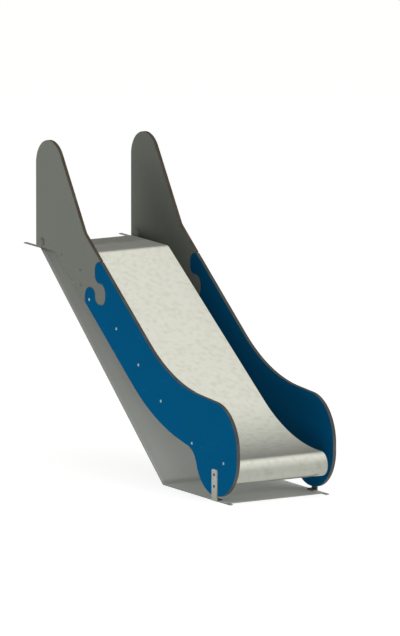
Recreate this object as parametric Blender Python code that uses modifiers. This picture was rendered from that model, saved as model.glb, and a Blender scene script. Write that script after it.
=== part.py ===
"""Embankment slide with two board side panels, a stainless steel chute and a steel base.

Metres, +Z up.  The chute runs down towards -Y, and the slide is symmetric in X.
The origin is on the underside of the foot sheet, midway between the two foot brackets.
Places on the slide are first given as a run and a height.  The run is the distance
forward of the line where the slope meets the level ground.  The height is measured
from a datum just above the base sheet, 5 mm over the ground.
"""

import math

import bmesh
import bpy
from mathutils import Matrix, Vector

# Widths and thicknesses
CHUTE_WIDTH = 0.650
BOARD = 0.022
CHUTE_SHEET = 0.0025
BASE_SHEET = 0.003
BAR = 0.006
DATUM = 0.005
GAP = 0.0003

# Chute
PLATFORM_Z = 1.249
PLATFORM_END = -1.533
CHUTE_END = -1.520
CREST = -1.0775
CREST_RADIUS = 0.058
LIP_RUN = 0.816
LIP_TOP = 0.2555
LIP_BOTTOM = 0.1085
NOSE_RADIUS = 0.0735
SLOPE_FOOT = (0.3600, 0.2660)
SLOPE_FOOT_RADIUS = 1.180
NOSE_END = 0.690
FLANGE = 0.042
SHALLOW_FLANGE = 0.2
FLANGE_STEP = -1.300
FOLD_RADIUS = 0.005

# Side panels
EAR_FOOT_Z = 1.238
EAR_APEX_Z = 2.2910
EAR_RADIUS = 0.1614
FOOT_FRONT = 0.8734
FOOT_Z = 0.024
JOINT_GAP = 0.001
TIP_RADIUS = 0.004
EDGE_CHAMFER = 0.0012
SPLICE_LENGTH = 0.176
SPLICE_WIDTH = 0.056
SPLICE_THICKNESS = 0.006
SPLICE_CORNER = 0.012

# Base
TAIL_END = -1.684
BANK_CREST = -1.4810
BANK_FOOT = -0.001
RAIL_FRONT = 0.790
SHEET_FRONT = 0.742
CREST_Z = EAR_FOOT_Z - GAP
FOOT_SHEET_Z = BASE_SHEET - DATUM
BANK_BEND = 0.012
FOOT_LIP = 0.020

# Fixings
BOLT_HEAD = 0.009
BOLT_SHANK = 0.004
CAP_RADIUS = 0.025
CAP_SHANK = 0.008
BRACKET_RUN = 0.617
BRACKET_WIDTH = 0.062
BRACKET_TOP = 0.1885
BRACKET_THICKNESS = 0.007
BRACKET_LEG = 0.032
BRACKET_CORNER = 0.014
BRACKET_CHAMFER = 0.0008
HOLE_PLAY = 0.0003
NUT_LENGTH = 0.006

# Where the screws go through the panels: run and height
CHUTE_BOLTS = [
    (-1.223, 1.228),
    (-0.993, 1.165),
    (-0.558, 0.868),
    (-0.293, 0.686),
    (-0.026, 0.505),
    (0.343, 0.304),
    (0.716, 0.238),
]
SPLICE_BOLTS = [(-0.986, 1.074), (-0.884, 1.000)]
BRACKET_BOLTS = [(BRACKET_RUN, 0.156), (BRACKET_RUN, 0.085)]
EAR_BOLT = (-1.457, 1.274)

HALF = CHUTE_WIDTH / 2
PANEL_X = HALF + BOARD / 2

for old in list(bpy.data.objects):
    bpy.data.objects.remove(old, do_unlink=True)

parts = bpy.data.collections.new("embankment_slide")
cutters = bpy.data.collections.new("cutters")
bpy.context.scene.collection.children.link(parts)
bpy.context.scene.collection.children.link(cutters)

root = bpy.data.objects.new("embankment_slide_root", None)
parts.objects.link(root)


def material(name, colour, roughness, metallic=0.0):
    """A Principled material with a plain colour, given in linear values."""
    mat = bpy.data.materials.new(name)
    mat.use_nodes = True
    shader = mat.node_tree.nodes["Principled BSDF"]
    shader.inputs["Base Color"].default_value = (*colour, 1.0)
    shader.inputs["Roughness"].default_value = roughness
    shader.inputs["Metallic"].default_value = metallic
    mat.diffuse_color = (*colour, 1.0)
    return mat


BLUE = material("blue_laminate_board", (0.004, 0.078, 0.191), 0.5)
GREY = material("grey_laminate_board", (0.171, 0.178, 0.150), 0.55)
CHUTE_STEEL = material("stainless_sheet", (0.65, 0.65, 0.60), 0.35, 1.0)
BASE_STEEL = material("grey_base_sheet", (0.19, 0.19, 0.18), 0.6, 0.6)
GALVANISED = material("galvanised_steel", (0.35, 0.37, 0.38), 0.5, 1.0)
SCREW_STEEL = material("stainless_screw", (0.55, 0.56, 0.57), 0.3, 1.0)


def y_of(run):
    """The model's Y for a distance forward of the foot of the slope."""
    return BRACKET_RUN - run


def z_of(height):
    """The model's Z for a height above the datum."""
    return height + DATUM


def add_part(name, mesh, mat):
    """Put a mesh in the parts collection under the root, with its own material."""
    obj = bpy.data.objects.new(name, mesh)
    if mat.name not in [m.name for m in mesh.materials if m]:
        mesh.materials.clear()
        mesh.materials.append(mat)
    parts.objects.link(obj)
    obj.parent = root
    return obj


def arc_steps(radius, turn):
    """Number of straight pieces for an arc, so that it bulges under 0.3 mm from them."""
    step = 2 * math.acos(1 - 0.0003 / radius)
    step = min(step, math.radians(9))
    return max(2, math.ceil(turn / step))


def rounded(corners, closed=False):
    """Points along a path of (run, z, radius) corners, with each corner as a true arc."""
    points = []
    count = len(corners)
    for i, (run, z, radius) in enumerate(corners):
        here = Vector((run, z))
        if radius == 0 or (not closed and i in (0, count - 1)):
            points.append(here)
            continue
        before = Vector(corners[i - 1][:2])
        after = Vector(corners[(i + 1) % count][:2])
        back = (before - here).normalized()
        ahead = (after - here).normalized()
        inside = back.angle(ahead)
        turn = math.pi - inside
        tangent = radius / math.tan(inside / 2)
        centre = here + (back + ahead).normalized() * (radius / math.sin(inside / 2))
        start = here + back * tangent - centre
        end = here + ahead * tangent - centre
        side = 1 if start.x * end.y - start.y * end.x > 0 else -1
        steps = arc_steps(radius, turn)
        for k in range(steps + 1):
            angle = side * turn * k / steps
            cos, sin = math.cos(angle), math.sin(angle)
            arm = Vector((start.x * cos - start.y * sin, start.x * sin + start.y * cos))
            points.append(centre + arm)
    return points


def shifted(points, distance):
    """The same path moved sideways, to the left of the way it runs."""
    moved = []
    for i, point in enumerate(points):
        along = points[min(i + 1, len(points) - 1)] - points[max(i - 1, 0)]
        left = Vector((-along.y, along.x)).normalized()
        moved.append(point + left * distance)
    return moved


def on_line(start, direction, height):
    """The run and height where a straight line reaches a height."""
    share = (height - start.y) / direction.y
    return start.x + direction.x * share, height


def board(name, points, thickness, centre_x, mat):
    """A flat plate that stands in the YZ plane, cut to an outline of (run, z) points."""
    curve = bpy.data.curves.new(name + "_outline", "CURVE")
    curve.dimensions = "2D"
    curve.fill_mode = "BOTH"
    curve.extrude = thickness / 2
    spline = curve.splines.new("POLY")
    spline.points.add(len(points) - 1)
    for target, point in zip(spline.points, points):
        target.co = (y_of(point.x), z_of(point.y), 0.0, 1.0)
    spline.use_cyclic_u = True
    guide = bpy.data.objects.new(name + "_outline", curve)
    parts.objects.link(guide)
    graph = bpy.context.evaluated_depsgraph_get()
    mesh = bpy.data.meshes.new_from_object(guide.evaluated_get(graph))
    bpy.data.objects.remove(guide, do_unlink=True)
    work = bmesh.new()
    work.from_mesh(mesh)
    bmesh.ops.remove_doubles(work, verts=work.verts, dist=1e-6)
    bmesh.ops.dissolve_limit(work, angle_limit=0.001, verts=work.verts, edges=work.edges)
    work.to_mesh(mesh)
    work.free()
    mesh.name = name
    mesh.materials.clear()
    obj = add_part(name, mesh, mat)
    obj.location = (centre_x, 0, 0)
    obj.rotation_euler = (math.pi / 2, 0, math.pi / 2)
    return obj


def chamfer(obj, width):
    """Break the sharp edges of a plate."""
    mod = obj.modifiers.new("edges", "BEVEL")
    mod.width = width
    mod.segments = 1
    mod.limit_method = "ANGLE"
    mod.angle_limit = math.radians(60)


def drill(obj, cutter):
    """Cut the holes of a cutter out of a plate."""
    mod = obj.modifiers.new("holes", "BOOLEAN")
    mod.operation = "DIFFERENCE"
    mod.object = cutter


def hole_cutter(name, spots):
    """One cutter made of round pins across the slide: (run, z, radius) each."""
    work = bmesh.new()
    across = Matrix.Rotation(math.pi / 2, 4, "Y")
    for run, z, radius in spots:
        bmesh.ops.create_cone(
            work,
            cap_ends=True,
            segments=20,
            radius1=radius,
            radius2=radius,
            depth=CHUTE_WIDTH + 0.3,
            matrix=Matrix.Translation((0, y_of(run), z_of(z))) @ across,
        )
    mesh = bpy.data.meshes.new(name)
    work.to_mesh(mesh)
    work.free()
    obj = bpy.data.objects.new(name, mesh)
    obj.hide_render = True
    obj.display_type = "WIRE"
    cutters.objects.link(obj)
    return obj


def bent_sheet(name, path, section, thickness, mat, depth_at=None):
    """A sheet bent along a path of top points, with (x, drop) as its folded section.

    A flat grid is made first; its columns follow the path and its rows the section.
    The sheet's thickness is added below the path.
    """
    work = bmesh.new()
    columns, rows = len(path), len(section)
    bmesh.ops.create_grid(work, x_segments=columns - 1, y_segments=rows - 1, size=1.0)
    work.verts.ensure_lookup_table()
    for vert in work.verts:
        i = round((vert.co.x + 1) / 2 * (columns - 1))
        j = round((vert.co.y + 1) / 2 * (rows - 1))
        along = path[min(i + 1, columns - 1)] - path[max(i - 1, 0)]
        up = Vector((-along.y, along.x)).normalized()
        x, drop = section[j]
        if depth_at:
            drop *= depth_at(path[i])
        spot = path[i] - up * drop
        vert.co = (x, y_of(spot.x), z_of(spot.y))
    bmesh.ops.recalc_face_normals(work, faces=work.faces)
    work.faces.ensure_lookup_table()
    top = max(work.faces, key=lambda face: face.calc_center_median().z - face.calc_area())
    if top.normal.z < 0:
        bmesh.ops.reverse_faces(work, faces=work.faces)
    mesh = bpy.data.meshes.new(name)
    work.to_mesh(mesh)
    work.free()
    obj = add_part(name, mesh, mat)
    mod = obj.modifiers.new("thickness", "SOLIDIFY")
    mod.thickness = thickness
    mod.offset = -1
    mod.use_even_offset = True
    return obj


def profile_mesh(name, profile):
    """Half of a turned piece's section: (radius, z) points from its top to its end."""
    mesh = bpy.data.meshes.new(name)
    verts = [(radius, 0, z) for radius, z in profile]
    edges = [(i, i + 1) for i in range(len(profile) - 1)]
    mesh.from_pydata(verts, edges, [])
    return mesh


def place_turned(name, shape, x, run, z, side, mat, segments=16):
    """Turn a section on a panel's face, with its head facing outwards."""
    obj = add_part(name, shape, mat)
    obj.location = (x, y_of(run), z_of(z))
    obj.rotation_euler = (0, side * math.pi / 2, 0)
    mod = obj.modifiers.new("turn", "SCREW")
    mod.axis = "Z"
    mod.steps = segments
    mod.render_steps = segments
    mod.use_merge_vertices = True
    mod.merge_threshold = 1e-5
    mod.use_smooth_shade = True
    return obj


# Outline of one side panel, as corners with their radii.  The ear stands above the
# platform, the handrail edge falls with the slope, and the foot is a big round lobe.
TOP_EDGE = [
    (0.0905, 0.6299, 1.170),
    (FOOT_FRONT, 0.5810, 0.275),
    (FOOT_FRONT, FOOT_Z, 0.252),
    (0.4555, FOOT_Z, 0.231),
    (0.3628, 0.2683, 0.135),
    (-0.1122, 0.3654, 1.450),
]
EAR = [
    (-1.2953, EAR_FOOT_Z, 0.010),
    (PLATFORM_END, EAR_FOOT_Z, 0.010),
    (PLATFORM_END, EAR_APEX_Z, EAR_RADIUS),
    (-0.9470, 1.3990, 0.080),
]

# The joint between the grey and the blue board is an S of interlocking lobes.
# It starts on the handrail edge and ends on the lower edge.
SEAM = [
    (-0.7450, 1.2487, 0),
    (-0.8180, 1.2467, 0.058),
    (-0.8180, 1.1160, 0.048),
    (-0.6930, 1.1160, 0.056),
    (-0.6930, 0.9860, 0.052),
    (-0.8150, 0.9860, 0.046),
    (-0.8150, 1.0780, 0.045),
    (-0.9380, 1.0780, 0.062),
    (-0.9380, 0.9760, 0),
]

seam = rounded(SEAM)
lower_edge = rounded([SEAM[0]] + TOP_EDGE + [SEAM[-1]])[1:-1]
upper_edge = rounded([SEAM[-1]] + EAR + [SEAM[0]])[1:-1]
upper_seam = shifted(seam, -JOINT_GAP / 2)


def blunted(before, tip, after):
    """The arc that takes the place of a sharp tip of the grey board."""
    return rounded([(*before, 0), (*tip, TIP_RADIUS), (*after, 0)])[1:-1]


upper_outline = blunted(upper_edge[-1], upper_seam[0], upper_seam[1]) + upper_seam[1:-1]
upper_outline += blunted(upper_seam[-2], upper_seam[-1], upper_edge[0]) + upper_edge
lower_outline = list(reversed(shifted(seam, JOINT_GAP / 2))) + lower_edge

# Round pins for all the screw holes across the slide
spots = [(run, z, BOLT_SHANK + HOLE_PLAY) for run, z in CHUTE_BOLTS + SPLICE_BOLTS]
spots += [(run, z, BOLT_SHANK + HOLE_PLAY) for run, z in BRACKET_BOLTS]
spots += [(*EAR_BOLT, CAP_SHANK + HOLE_PLAY)]
holes = hole_cutter("screw_holes", spots)

# Chute: platform, slope, run-out and rolled nose in one folded sheet
chute_path = rounded(
    [
        (CHUTE_END, PLATFORM_Z, 0),
        (FLANGE_STEP - 0.010, PLATFORM_Z, 0),
        (FLANGE_STEP + 0.010, PLATFORM_Z, 0),
        (CREST, PLATFORM_Z, CREST_RADIUS),
        (*SLOPE_FOOT, SLOPE_FOOT_RADIUS),
        (LIP_RUN, LIP_TOP, NOSE_RADIUS),
        (LIP_RUN, LIP_BOTTOM, NOSE_RADIUS - 0.001),
        (NOSE_END, LIP_BOTTOM, 0),
    ]
)
fold = []
for k in range(4):
    angle = math.pi / 2 * k / 3
    fold.append((1 - math.sin(angle), 1 - math.cos(angle)))
half_width = HALF - GAP
right_side = [(half_width - FOLD_RADIUS * a, FOLD_RADIUS * b) for a, b in fold]
left_side = [(-x, drop) for x, drop in reversed(right_side)]
chute_section = [(-half_width, FLANGE)] + left_side + right_side + [(half_width, FLANGE)]


def flange_depth(point):
    """Behind the panels' lower edge the chute keeps only a shallow fold."""
    return SHALLOW_FLANGE if point.x < FLANGE_STEP else 1.0


chute = bent_sheet(
    "chute", chute_path, chute_section, CHUTE_SHEET, CHUTE_STEEL, flange_depth
)
drill(chute, holes)

# Base: two flat bars that follow the bank under the panels, with the sheets between them.
# The bars are thicker than the sheets and lie on the same bank, so their tops are higher.
bank_crest = Vector((BANK_CREST, CREST_Z))
bank_foot = Vector((BANK_FOOT, FOOT_SHEET_Z))
uphill = (bank_crest - bank_foot).normalized()
proud = BAR - BASE_SHEET
bar_top = bank_foot + Vector((uphill.y, -uphill.x)) * proud
bar_foot_z = FOOT_SHEET_Z + proud
rail_path = rounded(
    [
        (TAIL_END, CREST_Z, 0),
        (*on_line(bar_top, uphill, CREST_Z), BANK_BEND),
        (*on_line(bar_top, uphill, bar_foot_z), BANK_BEND - proud),
        (RAIL_FRONT, bar_foot_z, 0),
    ]
)
lip_end = bank_foot + uphill * FOOT_LIP
slope_path = [bank_crest - uphill * BANK_BEND, lip_end + uphill * GAP]
# The foot sheet's rear edge is bent up into a short lip that the slope sheet butts against
foot_path = rounded(
    [
        (*lip_end, 0),
        (*bank_foot, BANK_BEND),
        (SHEET_FRONT, FOOT_SHEET_Z, 0),
    ]
)
sheet_section = [(-HALF, 0), (HALF, 0)]
bent_sheet("slope_sheet", slope_path, sheet_section, BASE_SHEET, BASE_STEEL)
bent_sheet("foot_sheet", foot_path, sheet_section, BASE_SHEET, BASE_STEEL)

# Shapes that are the same on both sides
splice_angle = math.atan2(
    SPLICE_BOLTS[1][1] - SPLICE_BOLTS[0][1], SPLICE_BOLTS[1][0] - SPLICE_BOLTS[0][0]
)
splice_middle = (Vector(SPLICE_BOLTS[0]) + Vector(SPLICE_BOLTS[1])) / 2
splice_corners = []
for a, b in [(-1, -1), (1, -1), (1, 1), (-1, 1)]:
    along = Vector((math.cos(splice_angle), math.sin(splice_angle))) * SPLICE_LENGTH / 2
    across = Vector((-math.sin(splice_angle), math.cos(splice_angle))) * SPLICE_WIDTH / 2
    corner = splice_middle + along * a + across * b
    splice_corners.append((corner.x, corner.y, SPLICE_CORNER))
splice_outline = rounded(splice_corners, closed=True)


def foot_bracket(name, side):
    """A strip that stands on the ground, with a leg that turns in under the panel."""
    back = BRACKET_RUN - BRACKET_WIDTH / 2
    front = BRACKET_RUN + BRACKET_WIDTH / 2
    leg_low = bar_foot_z + GAP
    leg_high = leg_low + BRACKET_THICKNESS
    top = rounded(
        [
            (front, leg_high, 0),
            (front, BRACKET_TOP, BRACKET_CORNER),
            (back, BRACKET_TOP, BRACKET_CORNER),
            (back, leg_high, 0),
        ]
    )
    low = [Vector((back, -DATUM)), Vector((front, -DATUM)), Vector((front, leg_low))]
    outline = low + top + [Vector((back, leg_low))]
    inner_x = side * (HALF + BOARD + GAP)
    outer_x = inner_x + side * BRACKET_THICKNESS
    work = bmesh.new()
    inner = [work.verts.new((inner_x, y_of(p.x), z_of(p.y))) for p in outline]
    outer = [work.verts.new((outer_x, y_of(p.x), z_of(p.y))) for p in outline]
    outer_face = work.faces.new(outer)
    for i in range(len(outline)):
        j = (i + 1) % len(outline)
        work.faces.new((inner[i], outer[i], outer[j], inner[j]))
    # The inner face is in three parts, and the leg grows out of the middle one
    work.faces.new((inner[0], inner[1], inner[2], inner[-1]))
    work.faces.new(inner[3:-1])
    leg = work.faces.new((inner[2], inner[3], inner[-2], inner[-1]))
    bmesh.ops.recalc_face_normals(work, faces=work.faces)
    grown = bmesh.ops.extrude_discrete_faces(work, faces=[leg])
    bmesh.ops.translate(work, verts=grown["faces"][0].verts, vec=(-side * BRACKET_LEG, 0, 0))
    rim = list(outer_face.edges)
    bmesh.ops.bevel(work, geom=rim, offset=BRACKET_CHAMFER, segments=1, affect="EDGES")
    mesh = bpy.data.meshes.new(name)
    work.to_mesh(mesh)
    work.free()
    return add_part(name, mesh, GALVANISED)


chute_bolt_end = -(BOARD + GAP + CHUTE_SHEET + NUT_LENGTH)
splice_bolt_end = -(BOARD + GAP + SPLICE_THICKNESS + NUT_LENGTH)
# The bracket screws end flush with the panels' inner faces, in nuts sunk in the boards
bracket_bolt_end = -(BRACKET_THICKNESS + GAP + BOARD)


def domed_bolt(name, end):
    """A domed head that sits on its face at z = 0, with a plain shank down to its end."""
    return profile_mesh(
        name,
        [
            (0, 0.0052),
            (0.0045, 0.0047),
            (0.0078, 0.0030),
            (BOLT_HEAD, GAP),
            (BOLT_SHANK, GAP),
            (BOLT_SHANK, end),
            (0, end),
        ],
    )


chute_bolt = domed_bolt("chute_bolt", chute_bolt_end)
splice_bolt = domed_bolt("splice_bolt", splice_bolt_end)
bracket_bolt = domed_bolt("bracket_bolt", bracket_bolt_end)
inner = -(BOARD + GAP)
cap_bolt = profile_mesh(
    "cap_bolt",
    [
        (0, 0.0100),
        (0.0100, 0.0088),
        (0.0180, 0.0055),
        (CAP_RADIUS, GAP),
        (CAP_SHANK, GAP),
        (CAP_SHANK, inner),
        (CAP_RADIUS, inner),
        (0.0180, inner - 0.0052),
        (0.0100, inner - 0.0085),
        (0, inner - 0.0097),
    ],
)

for side, word in ((-1, "left"), (1, "right")):
    face = side * (HALF + BOARD)
    upper = board(word + "_upper_panel", upper_outline, BOARD, side * PANEL_X, GREY)
    lower = board(word + "_lower_panel", lower_outline, BOARD, side * PANEL_X, BLUE)
    for panel in (upper, lower):
        chamfer(panel, EDGE_CHAMFER)
        drill(panel, holes)

    splice_x = side * (HALF - GAP - SPLICE_THICKNESS / 2)
    splice = board(
        word + "_splice_plate", splice_outline, SPLICE_THICKNESS, splice_x, GALVANISED
    )
    drill(splice, holes)

    bracket = foot_bracket(word + "_foot_bracket", side)
    drill(bracket, holes)

    inside = side * (HALF + GAP)
    bar = [(min(face, inside), 0), (max(face, inside), 0)]
    bent_sheet(word + "_base_rail", rail_path, bar, BAR, BASE_STEEL)

    for number, (run, z) in enumerate(CHUTE_BOLTS, 1):
        name = f"{word}_chute_bolt_{number}"
        place_turned(name, chute_bolt, face, run, z, side, SCREW_STEEL)
    for number, (run, z) in enumerate(SPLICE_BOLTS, 1):
        name = f"{word}_splice_bolt_{number}"
        place_turned(name, splice_bolt, face, run, z, side, SCREW_STEEL)
    bracket_face = face + side * (GAP + BRACKET_THICKNESS)
    for number, (run, z) in enumerate(BRACKET_BOLTS, 1):
        name = f"{word}_bracket_bolt_{number}"
        place_turned(name, bracket_bolt, bracket_face, run, z, side, SCREW_STEEL)
    place_turned(f"{word}_ear_bolt", cap_bolt, face, *EAR_BOLT, side, GALVANISED, 24)
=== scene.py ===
# %% [markdown]
# # An embankment slide, dressed for a studio picture
#
# This slide lies on a grass bank.  Two thick boards stand on edge, and a folded sheet of
# stainless steel runs down between them.  The boards are grey at the top, where they rise
# into tall ears, and blue from there down.  The two colours meet in a joint shaped like
# the lobes of a jigsaw puzzle.
#
# The solid model already exists as a fixed frame.  This script keeps its plain plates,
# makes finer boards, chute and screws in the same places, and gives everything a finish.

# %% Load the frame
import math

import bmesh
import bpy
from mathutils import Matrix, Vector


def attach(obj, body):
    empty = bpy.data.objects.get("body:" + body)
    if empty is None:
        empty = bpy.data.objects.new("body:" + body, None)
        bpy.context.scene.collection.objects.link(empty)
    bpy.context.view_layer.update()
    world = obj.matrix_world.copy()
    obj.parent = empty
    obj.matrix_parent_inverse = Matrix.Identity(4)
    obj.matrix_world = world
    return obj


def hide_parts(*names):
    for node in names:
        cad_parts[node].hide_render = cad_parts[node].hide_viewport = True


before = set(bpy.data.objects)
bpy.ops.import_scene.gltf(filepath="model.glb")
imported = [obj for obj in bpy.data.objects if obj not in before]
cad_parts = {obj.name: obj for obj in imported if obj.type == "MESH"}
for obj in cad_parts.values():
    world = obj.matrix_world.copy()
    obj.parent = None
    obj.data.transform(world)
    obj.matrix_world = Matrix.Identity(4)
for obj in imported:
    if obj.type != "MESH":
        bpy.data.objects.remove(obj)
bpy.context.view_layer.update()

# %% [markdown]
# ## The view
#
# The picture was drawn almost without perspective: lines that are parallel on the slide
# are parallel in it.  A very long lens far away gives nearly the same look, and unlike an
# orthographic camera it also keeps the whole slide in the frame from the side.
# The lens can't be any length: a camera that is moved round the slide stands back in
# proportion to it, and sees no further than 100 times the slide's half diagonal, 164 m.
# The angles and the scale were measured from the picture's parallel lines and then
# adjusted a little, because even this lens gives a slight perspective.

# %% Camera
AZIMUTH = math.radians(-30.56)
ELEVATION = math.radians(9.803)
MM_PER_PIXEL = 6.0617
IMAGE_HEIGHT = 636
LENS = 800.0
SENSOR = 36.0
AIM = Vector((0.1034, 0.9413, 0.9347))

view_height = MM_PER_PIXEL / 1000 * IMAGE_HEIGHT
distance = view_height * LENS / SENSOR
backwards = Vector(
    (
        math.sin(AZIMUTH) * math.cos(ELEVATION),
        -math.cos(AZIMUTH) * math.cos(ELEVATION),
        math.sin(ELEVATION),
    )
)
camera_data = bpy.data.cameras.new("camera")
camera_data.lens = LENS
camera_data.sensor_width = SENSOR
camera_data.clip_start = 1.0
camera_data.clip_end = 3 * distance
camera = bpy.data.objects.new("camera", camera_data)
camera.location = AIM + backwards * distance
camera.rotation_mode = "QUATERNION"
camera.rotation_quaternion = backwards.to_track_quat("Z", "Y")
bpy.context.scene.collection.objects.link(camera)
bpy.context.scene.camera = camera
print("Camera", round(distance, 1), "m away, view", round(view_height, 2), "m high")

# %% [markdown]
# ## One helper for node trees
#
# Shader trees and Geometry Nodes trees are built from the same three facts: which node,
# which settings, and what goes into each input.  An input gets a number, a colour code,
# an earlier node or one of its outputs, so one small function serves everything below.
# The half of it that fills inputs has its own name, because it also serves the shader
# node that every new material already has.

# %% Node helper and colours
# Short names for the kinds of node that are used most
MATH = "ShaderNodeMath"
RANGE = "ShaderNodeMapRange"
NOISE = "ShaderNodeTexNoise"
MIX = "ShaderNodeMix"
SPLIT = "ShaderNodeSeparateXYZ"
JOIN = "ShaderNodeCombineXYZ"
# A noise stays mostly between these two values
NOISE_SPAN = {"From Min": 0.3, "From Max": 0.7}


def linear(code):
    """The linear colour, with alpha, of an sRGB hex code."""
    parts = [int(code[i : i + 2], 16) / 255 for i in (1, 3, 5)]
    return (*[p / 12.92 if p <= 0.04045 else ((p + 0.055) / 1.055) ** 2.4 for p in parts], 1.0)


def fill(tree, node, inputs):
    """Set or link inputs, given by name or as a tuple in order; a node's first output counts."""
    pairs = inputs.items() if isinstance(inputs, dict) else enumerate(inputs)
    for key, value in pairs:
        if isinstance(key, int):
            socket = node.inputs[key]
        else:
            socket = next(s for s in node.inputs if s.name == key and s.enabled)
        if isinstance(value, bpy.types.Node):
            value = next(s for s in value.outputs if s.enabled)
        if isinstance(value, bpy.types.NodeSocket):
            tree.links.new(value, socket)
        elif isinstance(value, str) and value.startswith("#"):
            socket.default_value = linear(value)
        else:
            socket.default_value = value


def add(tree, kind, inputs=(), **settings):
    """Add one node with its settings and inputs."""
    node = tree.nodes.new(kind)
    for key, value in settings.items():
        setattr(node, key, value)
    fill(tree, node, inputs)
    return node


def shader_tree(name):
    """A new material, its node tree and its Principled shader."""
    mat = bpy.data.materials.new(name)
    mat.use_nodes = True
    tree = mat.node_tree
    return mat, tree, tree.nodes["Principled BSDF"]


print("The grey code #808080 is", round(linear("#808080")[0], 3), "as linear light")

# %% [markdown]
# ## Light and floor
#
# The picture is a plain cut-out on white with soft light.  Steel shows whatever it faces,
# so the shades on the chute tell what the studio dome looked like: bright overhead, which
# the slope reflects, dim at the horizon behind, which the flat platform reflects, and
# between the two in front and below, which the rolled nose reflects.
#
# The chute has no faces that look sideways, so seen from here it reflects only the right
# half of the dome.  The visible board faces all look left, so only the left half lights
# them.  Each half therefore has its own brightness, with a soft passage between them.
#
# Two wide lamps on the left, one low and one high, light the outer faces of the boards,
# and the left boards keep much of it off the inner faces of the right ones.  A weaker lamp
# in front reaches under the nose.  The lamps don't show in reflections.  The floor glows,
# like a light table, so that it stays white without shadows.  It is hidden from
# reflections too, where the dome takes its place, so that it doesn't wash out the steel.

# %% World, lamps and floor
RIGHT_HORIZON = 0.165
RIGHT_RISE = 1.09
RIGHT_FRONT = 0.365
LEFT_HORIZON = 0.26
LEFT_RISE = 0.15
LEFT_FRONT = 0.15
DOME_POWER = 2.3
SOFT_PASSAGE = 0.25
FLOOR_SIZE = 120.0
FLOOR_GLOW = 0.75
SLIDE_MIDDLE = (0.0, 1.0, 0.9)
SLIDE_NOSE = (0.0, 0.0, 0.1)

world = bpy.data.worlds.new("studio_dome")
world.use_nodes = True
bpy.context.scene.world = world
tree = world.node_tree
tree.nodes.clear()
direction = add(tree, "ShaderNodeTexCoord").outputs["Generated"]
parts = add(tree, SPLIT, (direction,)).outputs
levels = ((LEFT_HORIZON, RIGHT_HORIZON), (LEFT_RISE, RIGHT_RISE), (LEFT_FRONT, RIGHT_FRONT))
halves = []
for left, right in levels:
    passage = {"From Min": -SOFT_PASSAGE, "From Max": SOFT_PASSAGE, "To Min": left, "To Max": right}
    passage["Value"] = parts["X"]
    halves.append(add(tree, RANGE, passage, interpolation_type="SMOOTHSTEP"))
horizon, overhead, glow = halves
upwards = add(tree, MATH, (parts["Z"], 0.0), operation="MAXIMUM")
rise = add(tree, MATH, (upwards, DOME_POWER), operation="POWER")
level = add(tree, MATH, (rise, overhead, horizon), operation="MULTIPLY_ADD")
in_front = add(tree, RANGE, {"Value": parts["Y"], "From Min": -0.3, "From Max": -0.8})
below = add(
    tree,
    RANGE,
    {"Value": parts["Z"], "From Min": 0.0, "From Max": -0.6},
    interpolation_type="SMOOTHSTEP",
)
lit = add(tree, MATH, (in_front, below), operation="MAXIMUM")
level = add(tree, MATH, (lit, glow, level), operation="MULTIPLY_ADD")
dome = add(tree, "ShaderNodeBackground", {"Color": "#FFFFFB", "Strength": level})
add(tree, "ShaderNodeOutputWorld", {"Surface": dome})


def soft_lamp(name, power, size, place, target):
    """A rectangular lamp at a place, turned to a target."""
    data = bpy.data.lights.new(name, "AREA")
    data.shape = "RECTANGLE"
    data.size, data.size_y = size
    data.energy = power
    lamp = bpy.data.objects.new(name, data)
    lamp.location = place
    lamp.rotation_mode = "QUATERNION"
    lamp.rotation_quaternion = (Vector(place) - Vector(target)).to_track_quat("Z", "Y")
    lamp.visible_glossy = False
    bpy.context.scene.collection.objects.link(lamp)


soft_lamp("low_side_lamp", 360.0, (12.0, 1.2), (-8.0, 3.4, 0.8), SLIDE_MIDDLE)
soft_lamp("high_side_lamp", 230.0, (12.0, 1.2), (-8.0, 4.5, 4.0), SLIDE_MIDDLE)
soft_lamp("front_lamp", 120.0, (3.0, 1.2), (1.5, -6.0, 2.8), SLIDE_NOSE)

floor_mesh = bpy.data.meshes.new("floor")
work = bmesh.new()
bmesh.ops.create_grid(work, x_segments=1, y_segments=1, size=FLOOR_SIZE / 2)
work.to_mesh(floor_mesh)
work.free()
floor = bpy.data.objects.new("floor", floor_mesh)
bpy.context.scene.collection.objects.link(floor)
glass, tree, shader = shader_tree("opal_light_table")
matt = {"Base Color": "#B4B4B4", "Roughness": 0.9, "Specular IOR Level": 0.0}
glowing = {"Emission Color": "#FFFFFF", "Emission Strength": FLOOR_GLOW}
fill(tree, shader, matt | glowing)
floor_mesh.materials.append(glass)
floor.visible_glossy = False
bpy.context.scene.view_settings.view_transform = "Standard"
print("World:", len(world.node_tree.nodes), "nodes; lamps:", len(bpy.data.lights))

# %% [markdown]
# ## Compact laminate: the boards' coloured faces
#
# Playground boards like these are compact laminate, HPL for short: many sheets of kraft
# paper soaked in phenolic resin and pressed hot, with a coloured sheet on each face.  The
# colour is only skin deep.  The face is satin, with a very fine pebbled texture from the
# press plate, thin scratches from shoes and buttons, and a dusty film that gathers low
# down.  Near the machined edges the colour is a little worn, and painted shade darkens
# the corner where the boards' inner faces meet the platform.
#
# The face material takes a colour and makes one finish for both, because the two boards
# come from the same press.

# %% Face material of the boards
PEBBLE = 1.6 / 1000
SCRATCH = 9.0 / 1000
WORN_PATCH = 33.3333 / 1000
DUST_CLOUD = 416.667 / 1000
SLOPE_TURN = math.radians(-38)
DUST_TOP = 1.2
CLOUD_SHARE = 0.16
SCRATCH_DEPTH = 1.2
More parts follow.
